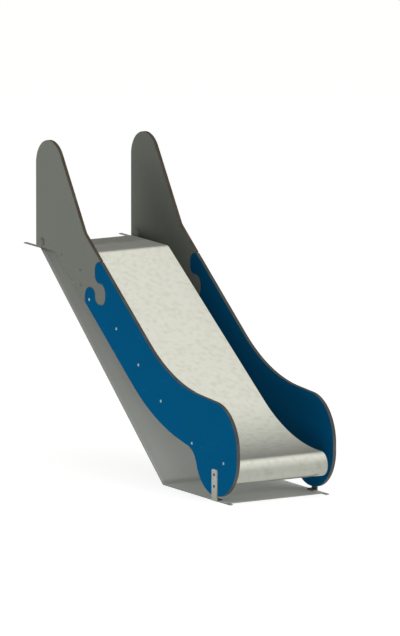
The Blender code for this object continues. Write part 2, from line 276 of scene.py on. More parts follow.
# The painted corner shade: its heights, where it starts and is full, and where it fades and is gone
CORNER_SHADE_FOOT, CORNER_SHADE_TOP = 1.250, 1.370
CORNER_SHADE_START, CORNER_SHADE_FULL, CORNER_SHADE_FADES, CORNER_SHADE_GONE = 1.70, 2.02, 2.07, 2.13
INNER_FACE = 0.3255


def laminate_face(name, colour, dust, worn):
    """The coloured face of a board, from the colours of its sheet, its dust and its wear."""
    mat, tree, shader = shader_tree(name)
    place = add(tree, "ShaderNodeTexCoord").outputs["Object"]
    spot = add(tree, SPLIT, (place,)).outputs

    # Large soft clouds of dust and fading, with more dust low down
    clouds = add(
        tree, NOISE, {"Vector": place, "Scale": 1 / DUST_CLOUD, "Detail": 5.0, "Roughness": 0.6}
    )
    low_down = add(
        tree, RANGE, {"Value": spot["Z"], "From Min": DUST_TOP, "From Max": 0.0, "To Max": 0.24}
    )
    film = add(tree, MATH, (clouds, CLOUD_SHARE, low_down), operation="MULTIPLY_ADD")

    # Thin scratches: a noise stretched along the slope, of which only the crests count
    lengthwise = add(
        tree,
        "ShaderNodeMapping",
        {"Vector": place, "Rotation": (SLOPE_TURN, 0.0, 0.0), "Scale": (1.0, 0.06, 1.0)},
    )
    lines = add(
        tree, NOISE, {"Vector": lengthwise, "Scale": 1 / SCRATCH, "Detail": 2.0, "Roughness": 0.7}
    )
    scratch = add(tree, RANGE, {"Value": lines, "From Min": 0.66, "From Max": 0.74, "To Max": 0.22})

    # Wear next to the machined edge, from an attribute that the board carries
    edge = add(tree, "ShaderNodeAttribute", attribute_name="edge").outputs["Fac"]
    patch = add(
        tree, NOISE, {"Vector": place, "Scale": 1 / WORN_PATCH, "Detail": 4.0, "Roughness": 0.7}
    )
    rubbed = add(tree, MATH, (edge, patch), operation="MULTIPLY")
    rubbed = add(tree, RANGE, {"Value": rubbed, "From Min": 0.35, "From Max": 0.65, "To Max": 0.55})

    # Painted shade, darkest in the corner where the inner face meets the platform, most near its back
    above = add(tree, RANGE, {"Value": spot["Z"], "From Min": CORNER_SHADE_TOP, "From Max": CORNER_SHADE_FOOT})
    above = add(tree, MATH, (above, 2.0), operation="POWER")
    rear = add(
        tree, RANGE, {"Value": spot["Y"], "From Min": CORNER_SHADE_START, "From Max": CORNER_SHADE_FULL, "To Max": 0.8}
    )
    short_of_edge = add(
        tree, RANGE, {"Value": spot["Y"], "From Min": CORNER_SHADE_GONE, "From Max": CORNER_SHADE_FADES}
    )
    sideways = add(tree, MATH, (spot["X"],), operation="ABSOLUTE")
    corner_shade = add(tree, MATH, (sideways, INNER_FACE), operation="LESS_THAN")
    for limit in (rear, short_of_edge, above):
        corner_shade = add(tree, MATH, (corner_shade, limit), operation="MULTIPLY")

    shade = colour
    # The near-black last coat is painted shade in the corner by the platform
    for amount, coat in ((film, dust), (scratch, worn), (rubbed, worn), (corner_shade, "#1E201C")):
        shade = add(tree, MIX, {"Factor": amount, "A": shade, "B": coat}, data_type="RGBA")
    pebbles = add(tree, NOISE, {"Vector": place, "Scale": 1 / PEBBLE, "Detail": 1.0})
    relief = add(tree, MATH, (scratch, -SCRATCH_DEPTH, pebbles), operation="MULTIPLY_ADD")
    bump = add(tree, "ShaderNodeBump", {"Height": relief, "Strength": 0.12, "Distance": 0.0008})
    gloss = add(tree, RANGE, NOISE_SPAN | {"Value": clouds, "To Min": 0.48, "To Max": 0.62})
    fill(tree, shader, {"Base Color": shade, "Roughness": gloss, "Normal": bump})
    fill(tree, shader, {"Specular IOR Level": 0.005})
    print(name, "has", len(tree.nodes), "nodes")
    return mat


blue_face = laminate_face("blue_compact_laminate", "#003F63", "#005C86", "#3C6F8A")
grey_face = laminate_face("grey_compact_laminate", "#5F625C", "#696B65", "#82817A")

# %% [markdown]
# ## The boards' cut edges
#
# Where the router cut the board, its brown core shows.  It is made of hundreds of pressed
# paper sheets, so the cut has very fine lines that run round the edge, one for each few
# sheets, and faint ripples across them from the cutter.  Real sheets are 0.2 mm thick.
# The lines here are drawn 1.6 mm apart, so that they show at all.
#
# The cut of the grey boards looks warm brown.  That of the blue boards, which hands and
# shoes touch more, looks greyer and cooler, so it gets its own colours.

# %% Core material of the boards
LAYER = 1.6 / 1000
LAYER_DEPTH = 0.6
CUTTER_MARK = 5.0 / 1000
WEATHERED_PATCH = 111.111 / 1000


def board_core(name, dark, pale, weathered):
    """The cut of a board, from the colours of its dark and pale layers and its weathering."""
    mat, tree, shader = shader_tree(name)
    place = add(tree, "ShaderNodeTexCoord").outputs["Object"]
    axes = add(tree, SPLIT, (place,)).outputs
    across = add(tree, JOIN, {"X": axes["X"]})
    layers = add(tree, NOISE, {"Vector": across, "Scale": 1 / LAYER, "Detail": 2.0, "Roughness": 0.8})
    along = add(tree, JOIN, {"Y": axes["Y"], "Z": axes["Z"]})
    ripple = add(tree, NOISE, {"Vector": along, "Scale": 1 / CUTTER_MARK, "Detail": 1.0})
    blotch = add(tree, NOISE, {"Vector": place, "Scale": 1 / WEATHERED_PATCH, "Detail": 4.0})
    weather = add(tree, RANGE, {"Value": blotch, "From Min": 0.4, "From Max": 0.8, "To Max": 0.7})
    shade = dark
    for amount, coat in ((layers, pale), (weather, weathered)):
        shade = add(tree, MIX, {"Factor": amount, "A": shade, "B": coat}, data_type="RGBA")
    relief = add(tree, MATH, (layers, LAYER_DEPTH, ripple), operation="MULTIPLY_ADD")
    bump = add(tree, "ShaderNodeBump", {"Height": relief, "Strength": 0.35, "Distance": 0.0006})
    fill(
        tree, shader, {"Base Color": shade, "Normal": bump, "Roughness": 0.65, "Specular IOR Level": 0.3}
    )
    print(name, "has", len(tree.nodes), "nodes")
    return mat


grey_core = board_core("brown_phenolic_core", "#33291F", "#574A3C", "#625B50")
blue_core = board_core("dusty_phenolic_core", "#2E2F2D", "#53534F", "#61615C")

# %% [markdown]
# ## Outlines from corners and radii
#
# A maker draws such a board with a few straight lines and a radius at each corner.  The
# same list of corners serves here.  A place is a run, the distance forward of the line
# where the slope meets level ground, and a height above a datum 5 mm over the ground.
# A small function replaces each corner by a true arc.

# %% Corner lists and the arc function
BRACKET_RUN = 0.617
DATUM = 0.005
CHORD_ERROR = 0.00005
WIDEST_STEP = 0.1


def placed(run, height):
    """The model's Y and Z for a run and a height."""
    return BRACKET_RUN - run, height + DATUM


def rounded(corners):
    """Points along a path of (run, height, radius) corners, with each corner as an arc."""
    points = []
    for i, (run, height, radius) in enumerate(corners):
        here = Vector((run, height))
        if radius == 0 or i in (0, len(corners) - 1):
            points.append(here)
            continue
        back = (Vector(corners[i - 1][:2]) - here).normalized()
        ahead = (Vector(corners[i + 1][:2]) - here).normalized()
        inside = back.angle(ahead)
        centre = here + (back + ahead).normalized() * (radius / math.sin(inside / 2))
        tangent = radius / math.tan(inside / 2)
        start = here + back * tangent - centre
        end = here + ahead * tangent - centre
        side = 1 if start.x * end.y - start.y * end.x > 0 else -1
        turn = side * (math.pi - inside)
        fine = min(2 * math.acos(1 - CHORD_ERROR / radius), WIDEST_STEP)
        steps = max(3, math.ceil(abs(turn) / fine))
        for k in range(steps + 1):
            cos, sin = math.cos(turn * k / steps), math.sin(turn * k / steps)
            arm = Vector((start.x * cos - start.y * sin, start.x * sin + start.y * cos))
            points.append(centre + arm)
    return points


def shifted(points, distance):
    """The same path moved sideways, to the left of the way it runs."""
    moved = []
    for i, point in enumerate(points):
        along = points[min(i + 1, len(points) - 1)] - points[max(i - 1, 0)]
        moved.append(point + Vector((-along.y, along.x)).normalized() * distance)
    return moved


print("Level ground ends at Y", BRACKET_RUN, "and the datum lies at Z", DATUM)

# %% [markdown]
# ## Two boards a side, with a puzzle joint
#
# The grey board carries the ear and the platform, and the blue one the handrail and the
# round foot.  The joint is one line that both outlines share, moved half a millimetre
# each way, so that a 1 mm seam stays open between them, as between real machined parts.
# Where the joint starts and ends, the grey board would come to a sharp tip.  A maker
# blunts such a tip, and the small notch that this leaves shows on the handrail edge.
#
# Each board is its outline pushed through 22 mm.  The sharp rims are rounded a little,
# and a narrow ring inside each rim carries the attribute that the face material reads as
# wear.  The flat faces get the coloured material, and the rims and the cut get the core.

# %% Board outlines
ear = [
    (-1.2953, 1.2380, 0.010),
    (-1.5330, 1.2380, 0.010),
    (-1.5330, 2.2910, 0.1614),
    (-0.9470, 1.3990, 0.080),
]
handrail_and_foot = [
    (0.0905, 0.6299, 1.170),
    (0.8734, 0.5810, 0.275),
    (0.8734, 0.0240, 0.252),
    (0.4555, 0.0240, 0.231),
    (0.3628, 0.2683, 0.135),
    (-0.1122, 0.3654, 1.450),
]
puzzle = [
    (-0.7450, 1.2487, 0),
    (-0.8180, 1.2467, 0.058),
    (-0.8180, 1.1160, 0.048),
    (-0.6930, 1.1160, 0.056),
    (-0.6930, 0.9860, 0.052),
    (-0.8150, 0.9860, 0.046),
    (-0.8150, 1.0780, 0.045),
    (-0.9380, 1.0780, 0.062),
    (-0.9380, 0.9760, 0),
]
SEAM = 0.001
TIP_RADIUS = 0.004
joint = rounded(puzzle)
grey_rest = rounded([puzzle[-1]] + ear + [puzzle[0]])[1:-1]
blue_rest = rounded([puzzle[0]] + handrail_and_foot + [puzzle[-1]])[1:-1]
grey_joint = shifted(joint, -SEAM / 2)


def blunted(before, tip, after):
    """The arc that takes the place of a sharp tip of the grey board."""
    return rounded([(*before, 0), (*tip, TIP_RADIUS), (*after, 0)])[1:-1]


grey_outline = blunted(grey_rest[-1], grey_joint[0], grey_joint[1]) + grey_joint[1:-1]
grey_outline += blunted(grey_joint[-2], grey_joint[-1], grey_rest[0]) + grey_rest
blue_outline = list(reversed(shifted(joint, SEAM / 2))) + blue_rest
print("Outline points:", len(grey_outline), "grey,", len(blue_outline), "blue")

# %% Board maker
INSIDE_WIDTH = 0.650
BOARD = 0.022
RIM = 0.0012
WEAR_RING = 0.0025
FLAT = 0.999
OUTLINE_CORNERS = 20


def board(name, outline, side, face_material, core_material):
    """A board from its outline, on one side of the slide (-1 left, 1 right)."""
    work = bmesh.new()
    near = side * INSIDE_WIDTH / 2
    far = near + side * BOARD
    rings = []
    for x in (min(near, far), max(near, far)):
        rings.append([work.verts.new((x, *placed(*point))) for point in outline])
    low, high = rings
    faces = [work.faces.new(low), work.faces.new(list(reversed(high)))]
    count = len(outline)
    for i in range(count):
        j = (i + 1) % count
        work.faces.new((low[i], high[i], high[j], low[j]))
    bmesh.ops.recalc_face_normals(work, faces=work.faces)
    rim_edges = [edge for face in faces for edge in face.edges]
    bmesh.ops.bevel(
        work, geom=rim_edges, offset=RIM, segments=3, profile=0.5, affect="EDGES"
    )
    sideways = [f for f in work.faces if abs(f.normal.x) > FLAT]
    flats = [f for f in sideways if len(f.verts) > OUTLINE_CORNERS]
    ring = bmesh.ops.inset_region(work, faces=flats, thickness=WEAR_RING, use_even_offset=True)
    coloured = set(flats) | set(ring["faces"])
    wear = work.verts.layers.float.new("edge")
    for vert in work.verts:
        vert[wear] = 1.0
    for face in flats:
        for vert in face.verts:
            vert[wear] = 0.0
    for face in work.faces:
        face.material_index = 0 if face in coloured else 1
        face.smooth = face not in coloured
    mesh = bpy.data.meshes.new(name)
    work.to_mesh(mesh)
    work.free()
    mesh.materials.append(face_material)
    mesh.materials.append(core_material)
    piece = bpy.data.objects.new(name, mesh)
    bpy.context.scene.collection.objects.link(piece)
    mesh.set_sharp_from_angle(angle=math.radians(40))
    even = piece.modifiers.new("even shading", "WEIGHTED_NORMAL")
    even.keep_sharp = True
    return piece


for side, word in ((-1, "left"), (1, "right")):
    upper = board(word + "_ear_board", grey_outline, side, grey_face, grey_core)
    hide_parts(word + "_upper_panel")
    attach(upper, "root")
    lower = board(word + "_handrail_board", blue_outline, side, blue_face, blue_core)
    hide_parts(word + "_lower_panel")
    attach(lower, "root")
    upper.visible_glossy = False
    lower.visible_glossy = False
    print(word, "boards:", len(upper.data.polygons), "and", len(lower.data.polygons), "faces")

# %% [markdown]
# ## Ground stainless sheet
#
# The chute is stainless steel with a ground finish: fine lines along the slide from the
# abrasive belt.  Out of doors the lines hold a film of dust, so the sheet looks creamy and
# cloudy rather than like a mirror, and rain dries on it in soft blotches of 2 to 4 cm.
#
# The pattern has to run along the sheet, also round the nose, so the material reads the
# sheet's own UV map, which is in metres: across the sheet, and along it.
# Real grinding lines are about 0.1 mm apart.  They are drawn 1.5 mm apart here.

# %% Chute material
GRIND = 1.5 / 1000
BLOTCH = 36.0 / 1000
CLOUD = 111.111 / 1000
chute_steel, tree, shader = shader_tree("ground_stainless_steel")
sheet = add(tree, "ShaderNodeUVMap", uv_map="sheet")
place = add(tree, "ShaderNodeTexCoord").outputs["Object"]
stretched = add(tree, "ShaderNodeMapping", {"Vector": sheet, "Scale": (1.0, 0.02, 1.0)})
grind = add(tree, NOISE, {"Vector": stretched, "Scale": 1 / GRIND, "Detail": 2.0, "Roughness": 0.7})
cloud = add(tree, NOISE, {"Vector": place, "Scale": 1 / CLOUD, "Detail": 2.0})
spots = add(tree, NOISE, {"Vector": place, "Scale": 1 / BLOTCH, "Detail": 1.5, "Roughness": 0.4})
stain = add(tree, RANGE, {"Value": spots, "From Min": 0.46, "From Max": 0.78, "To Max": 0.31})
clouded = NOISE_SPAN | {"Value": cloud}
film = add(tree, RANGE, clouded | {"To Min": 0.25, "To Max": 0.6})
rough = add(tree, RANGE, clouded | {"To Min": 0.235, "To Max": 0.265})
metal = add(
    tree, RANGE, {"Value": film, "From Min": 0.25, "From Max": 0.6, "To Min": 0.97, "To Max": 0.93}
)
shade = "#E2E3D9"
for amount, coat in ((grind, "#E8E9DF"), (film, "#E4E5DA"), (stain, "#BDBDAA")):
    shade = add(tree, MIX, {"Factor": amount, "A": shade, "B": coat}, data_type="RGBA")
bump = add(tree, "ShaderNodeBump", {"Height": grind, "Strength": 0.04, "Distance": 0.0004})
fill(tree, shader, {"Base Color": shade, "Metallic": metal, "Roughness": rough, "Normal": bump})
print("Chute material has", len(tree.nodes), "nodes")

# %% [markdown]
# ## The chute: one folded sheet that follows a path
#
# A press brake folds the sheet's long edges down, and rollers bend it into the slope, the
# run-out and the nose.  So its shape is a section that follows a path, which is exactly
# what the Curve to Mesh node makes.  The path is a corner list again.  The section is a
# flat top with a small fold and a flange at each side.
#
# The tree also writes the sheet's UV map from the lengths along both curves, and makes
# the flanges shallow behind the boards' lower edge.  Solidify then adds the thickness.

# %% Path and section of the chute
SHEET = 0.0025
GAP = 0.0003
FOLD = 0.005
FLANGE = 0.042
FLANGE_KEPT = 0.2
FOLD_STEPS = 6
EASE = 0.001
PLATFORM = 1.249
REAR_EDGE = -1.520
FLANGE_STEP = -1.300
STEP_RAMP = 0.010
LANE_SHARES = (0.0, 0.25, 0.5, 0.75, 0.96)
chute_corners = [
    (REAR_EDGE, PLATFORM, 0),
    (FLANGE_STEP - STEP_RAMP, PLATFORM, 0),
    (FLANGE_STEP + STEP_RAMP, PLATFORM, 0),
    (-1.0775, PLATFORM, 0.058),
    (0.3600, 0.2660, 1.180),
    (0.816, 0.2555, 0.0735),
    (0.816, 0.1085, 0.0725),
    (0.690, 0.1085, 0),
]


def line_object(name, points):
    """A curve object with straight pieces through 3-D points."""
    data = bpy.data.curves.new(name, "CURVE")
    data.dimensions = "3D"
    spline = data.splines.new("POLY")
    spline.points.add(len(points) - 1)
    for target, point in zip(spline.points, points):
        target.co = (*point, 1.0)
    made = bpy.data.objects.new(name, data)
    bpy.context.scene.collection.objects.link(made)
    return made


half = INSIDE_WIDTH / 2 - GAP
fold = []
for k in range(FOLD_STEPS + 1):
    angle = math.pi / 2 * k / FOLD_STEPS
    fold.append((half - FOLD + FOLD * math.sin(angle), FOLD * math.cos(angle) - FOLD))
lane = [half * share for share in LANE_SHARES] + [half - FOLD - EASE]
right = [(x, 0.0) for x in lane[1:]] + fold + [(half, -FOLD - EASE), (half, -FLANGE)]
section = [(-x, y, 0.0) for x, y in reversed(right)] + [(0.0, 0.0, 0.0)]
section += [(x, y, 0.0) for x, y in right]
section_object = line_object("chute_section", section)
path_points = [(0.0, *placed(*point)) for point in rounded(chute_corners)]
chute_path = line_object("chute_path", path_points)
print("Chute path:", len(path_points), "points; section:", len(section), "points")

# %% Trees with named inputs
FLOAT = "NodeSocketFloat"
MATERIAL = "NodeSocketMaterial"
GEOMETRY = "NodeSocketGeometry"


def sizes_tree(name, first, inputs, last):
    """A Geometry Nodes tree with named inputs, and their identifiers by name."""
    tree = bpy.data.node_groups.new(name, "GeometryNodeTree")
    tree.interface.new_socket(first, in_out="INPUT", socket_type=GEOMETRY)
    sockets = {}
    for title, kind in inputs.items():
        socket = tree.interface.new_socket(title, in_out="INPUT", socket_type=kind)
        sockets[title] = socket.identifier
    tree.interface.new_socket(last, in_out="OUTPUT", socket_type=GEOMETRY)
    print("Tree", name, "takes:", ", ".join(sockets))
    return tree, sockets


def set_to_run(source, tree, sockets, values):
    """Give an object a modifier that runs a tree with these values."""
    nodes = source.modifiers.new(tree.name, "NODES")
    nodes.node_group = tree
    for title, value in values.items():
        nodes[sockets[title]] = value


# %% Sweep tree
sweep_sizes = dict.fromkeys(("Shallow behind", "Platform height", "Depth kept"), FLOAT)
sweep_inputs = {"Section": "NodeSocketObject"} | sweep_sizes | {"Steel": MATERIAL}
sweep, sweep_sockets = sizes_tree("folded_sheet", "Path", sweep_inputs, "Sheet")
given = add(sweep, "NodeGroupInput").outputs
# The section's width always lies along X, so the path's own normals point that way
upright = add(
    sweep, "GeometryNodeSetCurveNormal", {"Curve": given["Path"], "Normal": (1.0, 0.0, 0.0)}, mode="FREE"
)
travelled = add(sweep, "GeometryNodeSplineParameter").outputs["Length"]
long_way = add(
    sweep,
    "GeometryNodeStoreNamedAttribute",
    {"Geometry": upright, "Name": "along", "Value": travelled},
    data_type="FLOAT",
    domain="POINT",
)
outline = add(sweep, "GeometryNodeObjectInfo", {"Object": given["Section"]})
short_way = add(
    sweep,
    "GeometryNodeStoreNamedAttribute",
    {"Geometry": outline.outputs["Geometry"], "Name": "across", "Value": travelled},
    data_type="FLOAT",
    domain="POINT",
)
swept = add(sweep, "GeometryNodeCurveToMesh", {"Curve": long_way, "Profile Curve": short_way})
outward = add(sweep, "GeometryNodeFlipFaces", {"Mesh": swept})
spot = add(sweep, "GeometryNodeInputPosition")
axes = add(sweep, SPLIT, (spot,)).outputs
behind = add(sweep, MATH, (axes["Y"], given["Shallow behind"]), operation="GREATER_THAN")
drop = add(sweep, MATH, (axes["Z"], given["Platform height"]), operation="SUBTRACT")
shallow = add(
    sweep, MATH, (drop, given["Depth kept"], given["Platform height"]), operation="MULTIPLY_ADD"
)
lifted = add(sweep, JOIN, {"X": axes["X"], "Y": axes["Y"], "Z": shallow})
stepped = add(
    sweep, "GeometryNodeSetPosition", {"Geometry": outward, "Selection": behind, "Position": lifted}
)
across = add(sweep, "GeometryNodeInputNamedAttribute", {"Name": "across"}, data_type="FLOAT")
along = add(sweep, "GeometryNodeInputNamedAttribute", {"Name": "along"}, data_type="FLOAT")
both = add(sweep, JOIN, {"X": across, "Y": along})
mapped = add(
    sweep,
    "GeometryNodeStoreNamedAttribute",
    {"Geometry": stepped, "Name": "sheet", "Value": both},
    data_type="FLOAT2",
    domain="CORNER",
)
soft = add(sweep, "GeometryNodeSetShadeSmooth", {"Geometry": mapped})
real = add(sweep, "GeometryNodeRealizeInstances", {"Geometry": soft})
steel = add(sweep, "GeometryNodeSetMaterial", {"Geometry": real, "Material": given["Steel"]})
add(sweep, "NodeGroupOutput", {"Sheet": steel})

# %% Turn the sweep into a plain mesh


def made_real(source, name, replaced):
    """The evaluated shape of an object as a plain mesh piece on the slide's body."""
    graph = bpy.context.evaluated_depsgraph_get()
    mesh = bpy.data.meshes.new_from_object(source.evaluated_get(graph))
    mesh.name = name
    bpy.data.objects.remove(source, do_unlink=True)
    piece = bpy.data.objects.new(name, mesh)
    bpy.context.scene.collection.objects.link(piece)
    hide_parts(*replaced)
    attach(piece, "root")
    piece.visible_glossy = False
    return piece


sweep_values = {
    "Section": section_object,
    "Shallow behind": placed(FLANGE_STEP, 0)[0],
    "Platform height": placed(0, PLATFORM)[1],
    "Depth kept": FLANGE_KEPT,
    "Steel": chute_steel,
}
set_to_run(chute_path, sweep, sweep_sockets, sweep_values)
chute = made_real(chute_path, "folded_chute", ["chute"])
bpy.data.objects.remove(section_object, do_unlink=True)
wall = chute.modifiers.new("sheet thickness", "SOLIDIFY")
wall.thickness = SHEET
wall.offset = -1
wall.use_even_offset = True
print("Chute:", len(chute.data.polygons), "faces before its thickness")

# %% [markdown]
# ## Galvanised steel
#
# The foot brackets and the joint plates are steel dipped in molten zinc.  The zinc
# freezes into crystals 5 to 15 mm across, each of a slightly different grey, and the
# weather turns them into a pale matt crust.  A Voronoi pattern gives one shade to each
# crystal.  Rain splashes cream-coloured soil on the brackets' feet.  Where they look
# inwards near the ground, shade is painted into the colour: the low leg that turns in
# under the board is nearly black, and the inner side of the upright above it dark grey.

# %% Galvanised material
CRYSTAL = 9.0 / 1000
CRYSTAL_WARP = 11.1111 / 1000
BENT_BY = (0.006, 0.006, 0.006)
GRIME = 55.5556 / 1000
BRACKET_FACE = 0.3480
# Heights of the painted shade on the brackets' inner side: full below, gone above
INNER_SHADE_FULL, INNER_SHADE_TOP = 0.026, 0.032
SPLASH_FULL, SPLASH_TOP = 0.035, 0.085
LEG_TOP = 0.0145
zinc, tree, shader = shader_tree("galvanised_steel_dull")
place = add(tree, "ShaderNodeTexCoord").outputs["Object"]
warp = add(tree, NOISE, {"Vector": place, "Scale": 1 / CRYSTAL_WARP, "Detail": 2.0})
bent = add(
    tree,
    "ShaderNodeVectorMath",
    (warp.outputs["Color"], BENT_BY, place),
    operation="MULTIPLY_ADD",
)
crystal = add(tree, "ShaderNodeTexVoronoi", {"Vector": bent, "Scale": 1 / CRYSTAL}).outputs["Color"]
tone = add(tree, SPLIT, (crystal,)).outputs["X"]
grime = add(tree, NOISE, {"Vector": place, "Scale": 1 / GRIME, "Detail": 5.0, "Roughness": 0.65})
dulled = add(tree, RANGE, {"Value": grime, "From Min": 0.45, "From Max": 0.75, "To Max": 0.6})
spot = add(tree, SPLIT, (place,)).outputs
splashed = add(
    tree, RANGE, {"Value": spot["Z"], "From Min": SPLASH_TOP, "From Max": SPLASH_FULL, "To Max": 0.7}
)
# Painted shade on the brackets' inner side near the ground
outwards = add(tree, MATH, (spot["X"],), operation="ABSOLUTE")
inner_side = add(tree, MATH, (outwards, BRACKET_FACE), operation="LESS_THAN")
near_ground = add(
    tree, RANGE, {"Value": spot["Z"], "From Min": INNER_SHADE_TOP, "From Max": INNER_SHADE_FULL, "To Max": 0.95}
)
inner_shade = add(tree, MATH, (inner_side, near_ground), operation="MULTIPLY")
# The painted shade is nearly black on the leg and dark grey on the upright
upright = add(tree, MATH, (spot["Z"], LEG_TOP), operation="GREATER_THAN")
inner_shade_colour = add(tree, MIX, {"Factor": upright, "A": "#33342F", "B": "#52544F"}, data_type="RGBA")
shade = "#A4ADAD"
coats = ((tone, "#B2BAB9"), (dulled, "#9A9B8D"), (splashed, "#9F9E8B"), (inner_shade, inner_shade_colour))
for amount, coat in coats:
    shade = add(tree, MIX, {"Factor": amount, "A": shade, "B": coat}, data_type="RGBA")
rough = add(tree, RANGE, {"Value": tone, "To Min": 0.38, "To Max": 0.55})
bump = add(tree, "ShaderNodeBump", {"Height": grime, "Strength": 0.2, "Distance": 0.0008})
fill(tree, shader, {"Base Color": shade, "Roughness": rough, "Normal": bump, "Metallic": 0.35})
print("Zinc has", len(tree.nodes), "nodes")

# %% [markdown]
# ## Screws and caps
#
# The screws of the chute are turned and tumbled stainless steel, the brightest metal on
# the slide.  In the grey boards they are dulled to nearly the boards' own grey.  Those in
# the foot brackets are dark brown-black.
# The big caps in the ears are zinc again, but so dull that they are only a shade away
# from the grey boards, and the collar round them is darker as painted shade.  On pieces
# this small only a little unevenness shows, so one function makes all four.

# %% Materials of the small pieces
WORN_SPOT = 4.16667 / 1000
GREY_BOARD_FOOT = (1.03, 1.06)


def small_piece(name, dark, pale, metallic, roughness, aloft=None):
    """A slightly uneven metal for screws and caps; aloft is its colour in the grey boards."""
    mat, tree, shader = shader_tree(name)
    place = add(tree, "ShaderNodeTexCoord").outputs["Object"]
    worn = add(tree, NOISE, {"Vector": place, "Scale": 1 / WORN_SPOT, "Detail": 3.0})
    coats = [(worn, pale)]
    if aloft:
        height = add(tree, SPLIT, (place,)).outputs["Z"]
        low, high = GREY_BOARD_FOOT
        up_high = {"Value": height, "From Min": low, "From Max": high}
        coats.append((add(tree, RANGE, up_high), aloft))
    shade = dark
    for amount, coat in coats:
        shade = add(tree, MIX, {"Factor": amount, "A": shade, "B": coat}, data_type="RGBA")
    uneven = {"Value": worn, "To Min": roughness, "To Max": roughness + 0.18}
    rough = add(tree, RANGE, NOISE_SPAN | uneven)
    bump = add(tree, "ShaderNodeBump", {"Height": worn, "Strength": 0.1, "Distance": 0.0003})
    fill(tree, shader, {"Base Color": shade, "Roughness": rough, "Normal": bump, "Metallic": metallic})
    print(name, "has", len(tree.nodes), "nodes")
    return mat


screw_steel = small_piece(
    "stainless_screw_steel", "#B2C8D2", "#CFDFE6", 0.6, 0.25, aloft="#7E807B"
)
dark_screw_steel = small_piece("dark_brown_screw_steel", "#433E39", "#5E5952", 0.5, 0.50)
cap_zinc = small_piece("dull_zinc_cap", "#5E605B", "#676963", 0.2, 0.45)
# The collar's darker grey is painted shade round the cap
shaded_collar_zinc = small_piece("zinc_collar_painted_shade", "#595B56", "#5C5D58", 0.2, 0.55)

# %% [markdown]
# ## Screws by Geometry Nodes
#
# There are twenty-two screws, in three lengths, all with the same low domed head, a
# hexagon socket, a washer, and a nut inside.  One tree makes them.  It takes a mesh that
# is nothing but a point for each screw, with an arrow that says which way the head looks,
# builds one screw from its sizes, and copies it to all the points.
#
# The head is a ball squeezed low, with its lower half pushed up into a flat base, and the
# socket is a six-sided prism cut out of it.

# %% Helpers for turned pieces
BALL_RINGS = 12


def dome(tree, radius, height, base, segments=24):
    """A squeezed ball whose lower half is flattened into a base at a height."""
    sizes = {"Segments": segments, "Rings": BALL_RINGS, "Radius": 1.0}
    ball = add(tree, "GeometryNodeMeshUVSphere", sizes)
    squeeze = add(tree, JOIN, (radius, radius, height))
    low = add(tree, "GeometryNodeTransform", {"Geometry": ball, "Scale": squeeze})
    spot = add(tree, "GeometryNodeInputPosition")
    parts = add(tree, SPLIT, (spot,)).outputs
    flat = add(tree, MATH, (parts["Z"], 0.0), operation="MAXIMUM")
    pressed = add(tree, JOIN, (parts["X"], parts["Y"], flat))
    pushed = add(tree, "GeometryNodeSetPosition", {"Geometry": low, "Position": pressed})
    lift = add(tree, JOIN, (0.0, 0.0, base))
    return add(tree, "GeometryNodeTransform", {"Geometry": pushed, "Translation": lift})


def rod(tree, radius, top, bottom, sides=20):
    """A round or many-sided rod along Z between two heights."""
    depth = add(tree, MATH, (top, bottom), operation="SUBTRACT")
    sizes = {"Vertices": sides, "Radius": radius, "Depth": depth}
    made = add(tree, "GeometryNodeMeshCylinder", sizes)
    both = add(tree, MATH, (top, bottom), operation="ADD")
    middle = add(tree, MATH, (both, 0.5), operation="MULTIPLY")
    lift = add(tree, JOIN, (0.0, 0.0, middle))
    return add(tree, "GeometryNodeTransform", {"Geometry": made, "Translation": lift})


def copied_out(tree, coats, points):
    """Coat groups of pieces, copy them to the points along their arrows, and end the tree.

    coats is a list of (material, pieces) pairs.
    """
    joined = add(tree, "GeometryNodeJoinGeometry")
    for material, pieces in coats:
        group = add(tree, "GeometryNodeJoinGeometry")
        for piece in pieces:
            fill(tree, group, (piece,))
        coated = add(tree, "GeometryNodeSetMaterial", {"Geometry": group, "Material": material})
        fill(tree, joined, (coated,))
    arrow = add(tree, "GeometryNodeInputNamedAttribute", {"Name": "out"}, data_type="FLOAT_VECTOR")
    turned = add(tree, "FunctionNodeAlignRotationToVector", {"Vector": arrow}, axis="Z")
    copies = add(
        tree, "GeometryNodeInstanceOnPoints", {"Points": points, "Instance": joined, "Rotation": turned}
    )
    real = add(tree, "GeometryNodeRealizeInstances", {"Geometry": copies})
    add(tree, "NodeGroupOutput", {"Result": real})


print("A ball has", BALL_RINGS, "rings before it is pressed flat")

# %% Screw tree
# Widths are shares of the head's and shank's radius, the floor one of the head's height
SOCKET_FLOOR = 0.55
WASHER_WIDTH = 1.12
WASHER_FOOT = 0.0003
NUT_WIDTH = 1.85
SEAT = 0.0014
SEAT_GAP = 0.0002
STAND_OUT = 0.001
screw_sizes = ("Head radius", "Head height", "Socket radius", "Shank radius")
screw_sizes += ("Grip", "Nut height", "Washer")
screw_inputs = dict.fromkeys(screw_sizes, FLOAT) | {"Steel": MATERIAL}
screws, screw_sockets = sizes_tree("domed_screws", "Points", screw_inputs, "Result")
given = add(screws, "NodeGroupInput").outputs
head_radius, head_height, washer_top = given["Head radius"], given["Head height"], given["Washer"]
head = dome(screws, head_radius, head_height, washer_top)
socket_top = add(screws, MATH, (washer_top, head_height), operation="ADD")
cutter_top = add(screws, MATH, (socket_top, STAND_OUT), operation="ADD")
socket_floor = add(screws, MATH, (head_height, SOCKET_FLOOR), operation="MULTIPLY")
prism = rod(screws, given["Socket radius"], cutter_top, socket_floor, 6)
recessed = add(
    screws, "GeometryNodeMeshBoolean", {"Mesh 1": head, "Mesh 2": prism}, operation="DIFFERENCE"
)
washer_radius = add(screws, MATH, (head_radius, WASHER_WIDTH), operation="MULTIPLY")
washer = rod(screws, washer_radius, washer_top, WASHER_FOOT, 24)
